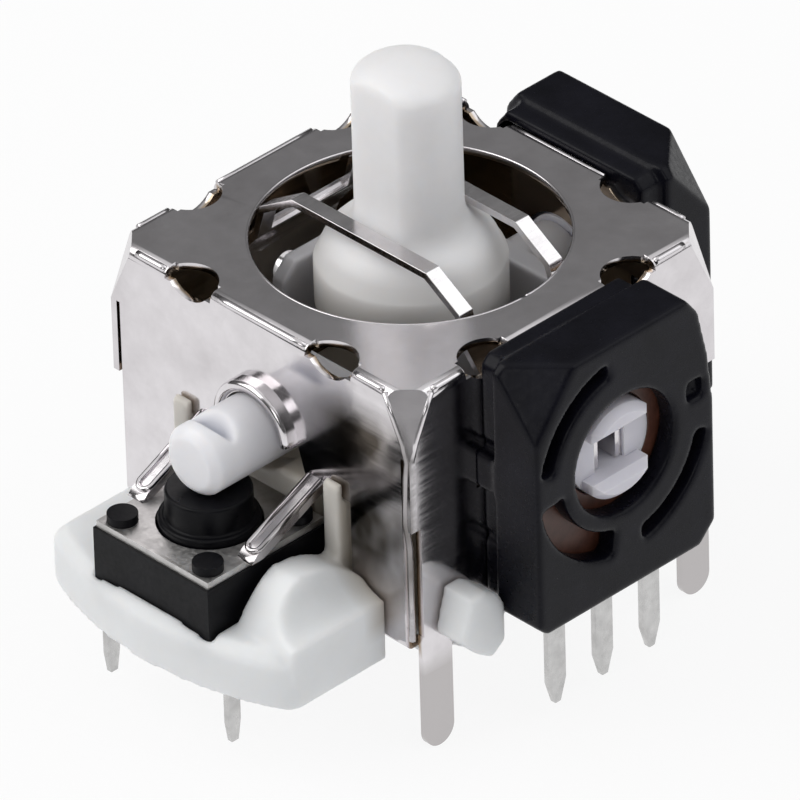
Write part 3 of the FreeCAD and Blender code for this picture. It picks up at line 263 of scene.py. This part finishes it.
def arm_painted_shade(s, skin):
    # Painted shade on the arm near the wall.
    skin = s.blend(shade_near_wall(s, -10.4, -8.4), skin, (0.62, 0.615, 0.64))
    # Painted shade in the groove across the arm's end, darker with depth.
    groove_at, shaft_radius, fade_in = -10.4, 1.42, 0.35
    x, y, z = s.places()
    along = s.size_of(s.maths("SUBTRACT", y, groove_at))
    up = s.maths("SUBTRACT", z, PIVOT_UP)
    out = s.maths("SQRT", s.maths("ADD", s.maths("MULTIPLY", x, x), s.maths("MULTIPLY", up, up)))
    groove_shade = s.both(s.between(along, 0.6, 0.1), s.between(out, shaft_radius, shaft_radius - fade_in),
                  s.between(up, 0.2, 0.5))
    return s.blend(groove_shade, skin, (0.46, 0.47, 0.53))


def black_plastic(name, tint, rough, grain):
    s = Shader(name, metallic=0.0, rough=rough)
    s.main.inputs["Specular IOR Level"].default_value = 0.13
    worn = tuple(c * 1.9 + 0.002 for c in tint)
    s.drive("Base Color", s.ramp(s.noise(0.5, 5.0, 0.6), [(0.35, tint), (0.75, worn)]))
    s.drive("Roughness", s.ramp(s.noise(5.0, 5.0, 0.6), [(0.3, rough - 0.08), (0.7, rough + 0.1)]))
    s.bump(s.noise(0.8, 2.0), 0.02, 0.3)
    s.bump(s.noise(22.0, 4.0, 0.7), grain, 0.5)
    return s.material


def strip_metal(name, tint, rough):
    s = Shader(name, metallic=1.0, rough=rough)
    dull = tuple(c * 0.75 for c in tint)
    s.drive("Base Color", s.ramp(s.noise(1.5, 5.0, 0.6), [(0.3, dull), (0.7, tint)]))
    drawn = s.noise(2.0, 4.0, 0.6, (3, 3, 0.4))
    s.drive("Roughness", s.ramp(drawn, [(0.3, rough - 0.08), (0.7, rough + 0.14)]))
    s.bump(s.noise(6.0, 4.0, 0.6, (2, 2, 0.3)), 0.006, 0.4)
    return s.material


def track_board():
    # Brown phenolic paper.
    s = Shader("phenolic", metallic=0.0, rough=0.42)
    fibre = s.noise(2.0, 6.0, 0.65)
    s.drive("Base Color", s.ramp(fibre, [(0.3, (0.055, 0.018, 0.01)), (0.7, (0.12, 0.045, 0.028))]))
    s.bump(s.noise(10.0, 4.0, 0.6), 0.006, 0.5)
    return s.material


LOOKS = {
    "nickel": frame_nickel(),
    "sheet": arch_nickel(),
    "base": white_plastic("base_nylon", (0.86, 0.875, 0.885), 0.6, 0.38, rib_painted_shade),
    "stick": white_plastic("stick_plastic", (0.9, 0.895, 0.905), 0.9, 0.42, skirt_painted_shade),
    "yoke": white_plastic("yoke_plastic", (0.88, 0.88, 0.91), 0.5, 0.34, arm_painted_shade),
    "rotor": white_plastic("rotor_plastic", (0.74, 0.73, 0.79), 0.4, 0.4),
    "housing": black_plastic("housing_plastic", (0.0025, 0.0025, 0.005), 0.3, 0.005),
    "switch": black_plastic("switch_plastic", (0.002, 0.002, 0.003), 0.4, 0.006),
    "button": black_plastic("button_plastic", (0.002, 0.002, 0.003), 0.34, 0.006),
    "cover": strip_metal("cover_steel", (0.66, 0.65, 0.64), 0.4),
    "pins": strip_metal("pin_tin", (0.63, 0.625, 0.62), 0.28),
    "wiper": strip_metal("wiper_alloy", (0.72, 0.5, 0.26), 0.25),
    "spring": strip_metal("spring_wire", (0.5, 0.5, 0.5), 0.25),
    "board": track_board(),
}
WEARS = {
    "frame": "nickel", "upper_yoke": "sheet", "base": "base", "stick": "stick", "lower_yoke": "yoke",
    "spring_cup": "base", "centring_spring": "spring", "switch_body": "switch", "switch_cover": "cover",
    "switch_plunger": "button", "switch_dome": "spring",
    "switch_terminal_left": "pins", "switch_terminal_right": "pins",
}
# Widths of the rounding on each solid's edges.
EDGES = {
    "upper_yoke": 0.07, "spring_cup": 0.08,
    "switch_body": 0.07, "switch_cover": 0.06, "switch_plunger": 0.14,
    "switch_terminal_left": 0.05, "switch_terminal_right": 0.05,
}
for sensor in SENSORS:
    for part, look in (("housing", "housing"), ("board", "board"), ("rotor", "rotor"), ("wiper", "wiper")):
        WEARS[sensor + part] = look
    EDGES[sensor + "rotor"] = 0.12
    EDGES[sensor + "board"] = 0.04
    for number in TERMINALS:
        WEARS["%sterminal_%d" % (sensor, number)] = "pins"
        EDGES["%sterminal_%d" % (sensor, number)] = 0.06
for name, look in WEARS.items():
    for slot in NODES[name].material_slots:
        slot.link = "OBJECT"
        slot.material = LOOKS[look]


# The solids come as loose triangles: they are merged, their flat faces joined, edges rounded.
MERGE = 0.002 * MM
FLAT = math.radians(0.4)
EDGE_STEPS = 3
EDGE_ANGLE = math.radians(25)
FACE_WEIGHT = 80


def smooth_group():
    group = bpy.data.node_groups.new("smooth_faces", "GeometryNodeTree")
    group.interface.new_socket("Geometry", in_out="INPUT", socket_type="NodeSocketGeometry")
    group.interface.new_socket("Geometry", in_out="OUTPUT", socket_type="NodeSocketGeometry")
    start = group.nodes.new("NodeGroupInput")
    end = group.nodes.new("NodeGroupOutput")
    smooth = group.nodes.new("GeometryNodeSetShadeSmooth")
    group.links.new(start.outputs[0], smooth.inputs[0])
    group.links.new(smooth.outputs[0], end.inputs[0])
    return group


SMOOTH = smooth_group()


def even_light(obj):
    normals = obj.modifiers.new("even_light", "WEIGHTED_NORMAL")
    normals.weight = FACE_WEIGHT


def round_edges(obj, width):
    weld = obj.modifiers.new("merge", "WELD")
    weld.merge_threshold = MERGE
    flat = obj.modifiers.new("join_flats", "DECIMATE")
    flat.decimate_type = "DISSOLVE"
    flat.angle_limit = FLAT
    bevel = obj.modifiers.new("soft_edges", "BEVEL")
    bevel.width = width * MM
    bevel.segments = EDGE_STEPS
    bevel.limit_method = "ANGLE"
    bevel.angle_limit = EDGE_ANGLE
    bevel.use_clamp_overlap = True
    skin = obj.modifiers.new("smooth", "NODES")
    skin.node_group = SMOOTH
    even_light(obj)


for name, width in EDGES.items():
    round_edges(NODES[name], width)


def merged_copy(node):
    # The node's solid as one closed mesh with its flat faces joined.
    bm = bmesh.new()
    bm.from_mesh(NODES[node].data)
    bmesh.ops.remove_doubles(bm, verts=bm.verts, dist=MERGE)
    bmesh.ops.dissolve_limit(bm, angle_limit=FLAT, verts=bm.verts, edges=bm.edges)
    return bm


def sharp_edges(bm, degrees):
    limit = math.radians(degrees)
    return [e for e in bm.edges if len(e.link_faces) == 2 and e.calc_face_angle(0) > limit]


def round_off(bm, edges, width, steps):
    bmesh.ops.bevel(bm, geom=edges, offset=width * MM, affect="EDGES", segments=steps, profile=0.5,
                    material=-1, clamp_overlap=True)


def make_piece(bm, name, look):
    for face in bm.faces:
        face.smooth = True
    mesh = bpy.data.meshes.new(name)
    bm.to_mesh(mesh)
    bm.free()
    mesh.materials.append(LOOKS[look])
    obj = bpy.data.objects.new(name, mesh)
    scene.collection.objects.link(obj)
    return obj


# Folded frame: broad bends round the corner facets, fine rounding on every cut edge.
FOLD_WIDTH = 0.22
FOLD_STEPS = 4
FOLD_ANGLE = 30
FOLD_LENGTH = 0.6
CUT_WIDTH = 0.07
CUT_STEPS = 2
CUT_ANGLE = 35
FACET_OUT = 0.672
FACET_RISE = 0.311
FACET_SLACK = 0.02
# A facet's outer skin is this far out along its own direction.
FACET_REACH = FACET_OUT * (2 * HALF_WIDTH - CORNER_CUT) + FACET_RISE * FRAME_TOP - FACET_SLACK
bm = merged_copy("frame")
folds = []
for edge in sharp_edges(bm, FOLD_ANGLE):
    middle = (edge.verts[0].co + edge.verts[1].co) / 2
    reach = (abs(middle.x) + abs(middle.y)) * FACET_OUT + middle.z * FACET_RISE
    if reach > FACET_REACH * MM and edge.calc_length() > FOLD_LENGTH * MM:
        folds.append(edge)
round_off(bm, folds, FOLD_WIDTH, FOLD_STEPS)
round_off(bm, sharp_edges(bm, CUT_ANGLE), CUT_WIDTH, CUT_STEPS)
frame_sheet = make_piece(bm, "frame_sheet", "nickel")
even_light(frame_sheet)
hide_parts("frame")
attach(frame_sheet, "chassis")

# Beads of metal along rolled rims and folds.
BEAD_SIDES = 12
ASIDE = Vector((1.0, 0.3, 0.7))


def bead_along(bm, path, radius):
    # Sweeps a round bead along a path and closes its ends.
    rings = []
    across = (path[1] - path[0]).cross(ASIDE).normalized()
    for place, spot in enumerate(path):
        ahead = (path[min(place + 1, len(path) - 1)] - path[max(place - 1, 0)]).normalized()
        across = (across - ahead * across.dot(ahead)).normalized()
        other = ahead.cross(across)
        rings.append([
            bm.verts.new(spot + (across * math.cos(turn) + other * math.sin(turn)) * radius)
            for turn in (math.tau * step / BEAD_SIDES for step in range(BEAD_SIDES))])
    for before, after in zip(rings, rings[1:]):
        for step in range(BEAD_SIDES):
            beside = (step + 1) % BEAD_SIDES
            bm.faces.new((before[step], before[beside], after[beside], after[step]))
    bm.faces.new(rings[0][::-1])
    bm.faces.new(rings[-1])


def metal_beads(name, paths, radius):
    bm = bmesh.new()
    for path in paths:
        bead_along(bm, [Vector(spot) * MM for spot in path], radius * MM)
    bmesh.ops.recalc_face_normals(bm, faces=bm.faces)
    beads = make_piece(bm, name, "nickel")
    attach(beads, "chassis")


def turns(whole, steps):
    """Even turns from 0 to whole."""
    return [whole * step / steps for step in range(steps + 1)]


# Rolled rims of the two hold-down tabs, from the wall down over the switch's cover.
TAB_MIDDLE = 2.95
TAB_EDGE = 0.31
TAB_FROM = (-8.05, 6.5)
TAB_TO = (-11.2, 5.06)
TAB_RIM = 0.12
slope = Vector((0, TAB_TO[0] - TAB_FROM[0], TAB_TO[1] - TAB_FROM[1])).normalized()
edge = Vector((TAB_EDGE, 0, 0))
tab_paths = []
for side in (1, -1):
    start = Vector((side * TAB_MIDDLE, *TAB_FROM))
    end = Vector((side * TAB_MIDDLE, *TAB_TO))
    rounded = [end - edge * math.cos(turn) + slope * TAB_EDGE * math.sin(turn) for turn in turns(math.pi, 10)]
    tab_paths.append([start - edge] + rounded + [start + edge])
metal_beads("tab_rims", tab_paths, TAB_RIM)

# Raised rims where the sheet was drawn: both sides of the near corner's facet, then down the wall's edge.
FACET_FROM = 12.05
FACET_TIP = 9.45
CORNER_RIM = 0.13
metal_beads("corner_rims", [
    [(6.72, -7.93, FACET_FROM), (7.15, -7.93, 11.15), (7.6, -7.93, 10.2), (7.82, -7.93, FACET_TIP),
     (7.74, -7.95, 8.6), (7.68, -7.95, 7.4), (7.68, -7.95, 6.6), (7.84, -7.95, 5.6), (7.84, -7.95, 1.4)],
    [(7.93, -6.72, FACET_FROM), (7.93, -7.15, 11.15), (7.93, -7.6, 10.2), (7.93, -7.84, FACET_TIP)],
], CORNER_RIM)

# Folds of the sheet along the four edges of the top, between the relief notches, and the top hole's lip.
FOLD_OUT = 7.83
FOLD_UP = 12.03
NOTCH_FROM = 2.45
NOTCH_TO = 5.05
FOLD_END = 6.6
FOLD_BEAD = 0.15
fold_paths = []
for side in range(4):
    swing = Matrix.Rotation(side * math.pi / 2, 4, "Z")
    for start, end in ((-FOLD_END, -NOTCH_TO), (-NOTCH_FROM, NOTCH_FROM), (NOTCH_TO, FOLD_END)):
        fold_paths.append([
            swing @ Vector((FOLD_OUT, start + along, FOLD_UP)) for along in turns(end - start, 6)])
metal_beads("fold_lines", fold_paths, FOLD_BEAD)
HOLE_RADIUS = 6.13
HOLE_UP = 12.16
HOLE_LIP = 0.06
metal_beads("hole_lip", [[
    (HOLE_RADIUS * math.cos(turn), HOLE_RADIUS * math.sin(turn), HOLE_UP) for turn in turns(math.tau, 120)
]], HOLE_LIP)

# Rolled lip of the half round collar over the arm.
COLLAR_MIDDLE = 1.77
COLLAR_OUT = -8.4
COLLAR_LIP = 0.22
metal_beads("collar_lip", [[
    (COLLAR_MIDDLE * math.cos(turn), COLLAR_OUT, PIVOT_UP + COLLAR_MIDDLE * math.sin(turn))
    for turn in turns(math.pi, 28)]], COLLAR_LIP)

# Stick: the same turned form with its stem, dome and skirt running into each other in soft curves.
STEM = 2.1
STEM_FLAT = 1.72
FLATS_FROM = 12.9
FLATS_RUN_IN = 0.5
STEM_FOOT = 13.7
SHOULDER = 19.0
STEM_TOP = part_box("stick")[1][2] / MM
STEM_STEPS = 8
CROWN_STEPS = 10
PIN_RADIUS = 0.8
PIN_LENGTH = 9.1
TURNED_SIDES = 96
PIN_SIDES = 32
TURNED_MERGE = 0.01 * MM
tail = [(0.0, 4.62), (0.9, 4.76), (1.7, 5.17), (1.7, 10.7)]
skirt = [(2.98, 10.0), (2.98, 9.2), (3.15, 9.18), (3.6, 9.25), (3.68, 9.4), (3.68, 11.2), (3.62, 11.36)]
dome = [(3.5, 11.5), (3.38, 11.85), (3.2, 12.16), (2.95, 12.42), (2.65, 12.62), (2.4, 12.78), (2.24, 13.0)]
neck = [(2.15, 13.3), (STEM, STEM_FOOT)]
stem = [(STEM, STEM_FOOT + rise) for rise in turns(SHOULDER - STEM_FOOT, STEM_STEPS)[1:]]
crown = [(STEM * math.cos(turn), SHOULDER + (STEM_TOP - SHOULDER) * math.sin(turn))
         for turn in turns(math.pi / 2, CROWN_STEPS)[1:]]
bm = bmesh.new()
spots = [bm.verts.new((r * MM, 0, z * MM)) for r, z in tail + skirt + dome + neck + stem + crown]
outline = [bm.edges.new(pair) for pair in zip(spots, spots[1:])]
bmesh.ops.spin(bm, geom=spots + outline, cent=(0, 0, 0), axis=(0, 0, 1), angle=math.tau,
               steps=TURNED_SIDES, use_merge=True)
bmesh.ops.remove_doubles(bm, verts=bm.verts, dist=TURNED_MERGE)
for vert in bm.verts:
    # The two flats: half a plain cut and half a soft squeeze, so that their edges stay round.
    flats = min(max((vert.co.z / MM - FLATS_FROM) / FLATS_RUN_IN, 0.0), 1.0)
    out = abs(vert.co.y) / (STEM * MM)
    squeezed = out * (1 - (1 - STEM_FLAT / STEM) * min(out, 1.0) ** 4) * STEM
    cut = min(out * STEM, STEM_FLAT)
    kept = (1 - flats) * out * STEM + flats * (squeezed + cut) / 2
    vert.co.y = math.copysign(kept * MM, vert.co.y)
bmesh.ops.recalc_face_normals(bm, faces=bm.faces)
pin = bmesh.ops.create_cone(bm, cap_ends=True, segments=PIN_SIDES, radius1=PIN_RADIUS * MM,
                            radius2=PIN_RADIUS * MM, depth=PIN_LENGTH * MM)
bmesh.ops.rotate(bm, verts=pin["verts"], cent=(0, 0, 0), matrix=Matrix.Rotation(math.pi / 2, 3, "Y"))
bmesh.ops.translate(bm, verts=pin["verts"], vec=(0, 0, PIVOT_UP * MM))
stick_body = make_piece(bm, "stick_body", "stick")
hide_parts("stick")
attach(stick_body, "lever")


# Mouldings whose forms run softly into each other, as they left worn tools.
def soft_moulding(node, name, look, body, grain, rounds):
    piece = make_piece(merged_copy(node), name, look)
    remesh = piece.modifiers.new("melt", "REMESH")
    remesh.mode = "VOXEL"
    remesh.voxel_size = grain * MM
    remesh.use_smooth_shade = True
    soften = piece.modifiers.new("soften", "SMOOTH")
    soften.factor = 0.5
    soften.iterations = rounds
    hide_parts(node)
    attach(piece, body)


soft_moulding("base", "base_block", "base", "chassis", 0.13, 8)
soft_moulding("pot_x_housing", "pot_x_shell", "housing", "chassis", 0.11, 7)
soft_moulding("pot_y_housing", "pot_y_shell", "housing", "chassis", 0.11, 7)
soft_moulding("lower_yoke", "yoke_arm", "yoke", "rocker", 0.09, 9)

# Floor under the legs' tips; pure white straight from the camera, pale in reflections.
FLOOR_HALF = 1.5
FLOOR_COLOUR = (0.86, 0.86, 0.87, 1)
FLOOR_GLOW = 0.9
WHITE = (1, 1, 1, 1)
corners = [
    (x * FLOOR_HALF, y * FLOOR_HALF, LEG_TIPS * MM) for x, y in ((-1, -1), (1, -1), (1, 1), (-1, 1))]
floor_mesh = bpy.data.meshes.new("floor")
floor_mesh.from_pydata(corners, [], [(0, 1, 2, 3)])
floor = bpy.data.objects.new("floor", floor_mesh)
scene.collection.objects.link(floor)
floor_look = bpy.data.materials.new("floor")
floor_look.use_nodes = True
tree = floor_look.node_tree
tree.nodes.remove(tree.nodes["Principled BSDF"])
diffuse = tree.nodes.new("ShaderNodeBsdfDiffuse")
diffuse.inputs["Color"].default_value = FLOOR_COLOUR
glow = tree.nodes.new("ShaderNodeEmission")
glow.inputs["Color"].default_value = WHITE
path = tree.nodes.new("ShaderNodeLightPath")
seen = path.outputs["Is Camera Ray"]
for kind in ("Is Glossy Ray", "Is Transmission Ray"):
    either = tree.nodes.new("ShaderNodeMath")
    either.operation = "MAXIMUM"
    tree.links.new(seen, either.inputs[0])
    tree.links.new(path.outputs[kind], either.inputs[1])
    seen = either.outputs[0]
share = tree.nodes.new("ShaderNodeMath")
share.operation = "MULTIPLY"
share.inputs[1].default_value = FLOOR_GLOW
mix = tree.nodes.new("ShaderNodeMixShader")
tree.links.new(seen, share.inputs[0])
tree.links.new(share.outputs[0], mix.inputs["Fac"])
tree.links.new(diffuse.outputs["BSDF"], mix.inputs[1])
tree.links.new(glow.outputs["Emission"], mix.inputs[2])
tree.links.new(mix.outputs["Shader"], tree.nodes["Material Output"].inputs["Surface"])
floor_mesh.materials.append(floor_look)

# World: white to the camera, to everything else a soft grey room that brightens overhead.
ROOM_STRENGTH = 0.75
ROOM_STOPS = [(0.46, 0.06), (0.8, 0.25), (0.93, 1.1)]
world = bpy.data.worlds.new("room")
scene.world = world
world.use_nodes = True
tree = world.node_tree
room = tree.nodes["Background"]
room.inputs["Strength"].default_value = ROOM_STRENGTH
backdrop = tree.nodes.new("ShaderNodeBackground")
backdrop.inputs["Color"].default_value = WHITE
path = tree.nodes.new("ShaderNodeLightPath")
mix = tree.nodes.new("ShaderNodeMixShader")
tree.links.new(path.outputs["Is Camera Ray"], mix.inputs["Fac"])
tree.links.new(room.outputs["Background"], mix.inputs[1])
tree.links.new(backdrop.outputs["Background"], mix.inputs[2])
tree.links.new(mix.outputs["Shader"], tree.nodes["World Output"].inputs["Surface"])
direction = tree.nodes.new("ShaderNodeTexCoord")
split = tree.nodes.new("ShaderNodeSeparateXYZ")
height = tree.nodes.new("ShaderNodeMath")
height.operation = "MULTIPLY_ADD"
height.inputs[1].default_value = 0.5
height.inputs[2].default_value = 0.5
ramp = tree.nodes.new("ShaderNodeValToRGB")
for place, (at, value) in enumerate(ROOM_STOPS):
    element = ramp.color_ramp.elements[place] if place < 2 else ramp.color_ramp.elements.new(at)
    element.position = at
    element.color = (value, value, value, 1)
tree.links.new(direction.outputs["Generated"], split.inputs["Vector"])
tree.links.new(split.outputs["Z"], height.inputs[0])
tree.links.new(height.outputs[0], ramp.inputs["Fac"])
tree.links.new(ramp.outputs["Color"], room.inputs["Color"])

AIM = Vector((0, 0, 0.008))


def softbox(name, spot, side, power, colour):
    data = bpy.data.lights.new(name, "AREA")
    data.shape = "SQUARE"
    data.size = side
    data.energy = power
    data.color = colour
    obj = bpy.data.objects.new(name, data)
    obj.location = spot
    obj.rotation_euler = (AIM - Vector(spot)).to_track_quat("-Z", "Y").to_euler()
    scene.collection.objects.link(obj)


softbox("key", (-0.36, -0.42, 0.45), 0.6, 2.7, (1.0, 0.99, 0.98))
softbox("fill", (0.46, 0.38, 0.42), 0.76, 1.7, (0.98, 0.99, 1.0))
softbox("front", (0.3, -0.5, 0.3), 0.25, 0.4, (1, 1, 1))
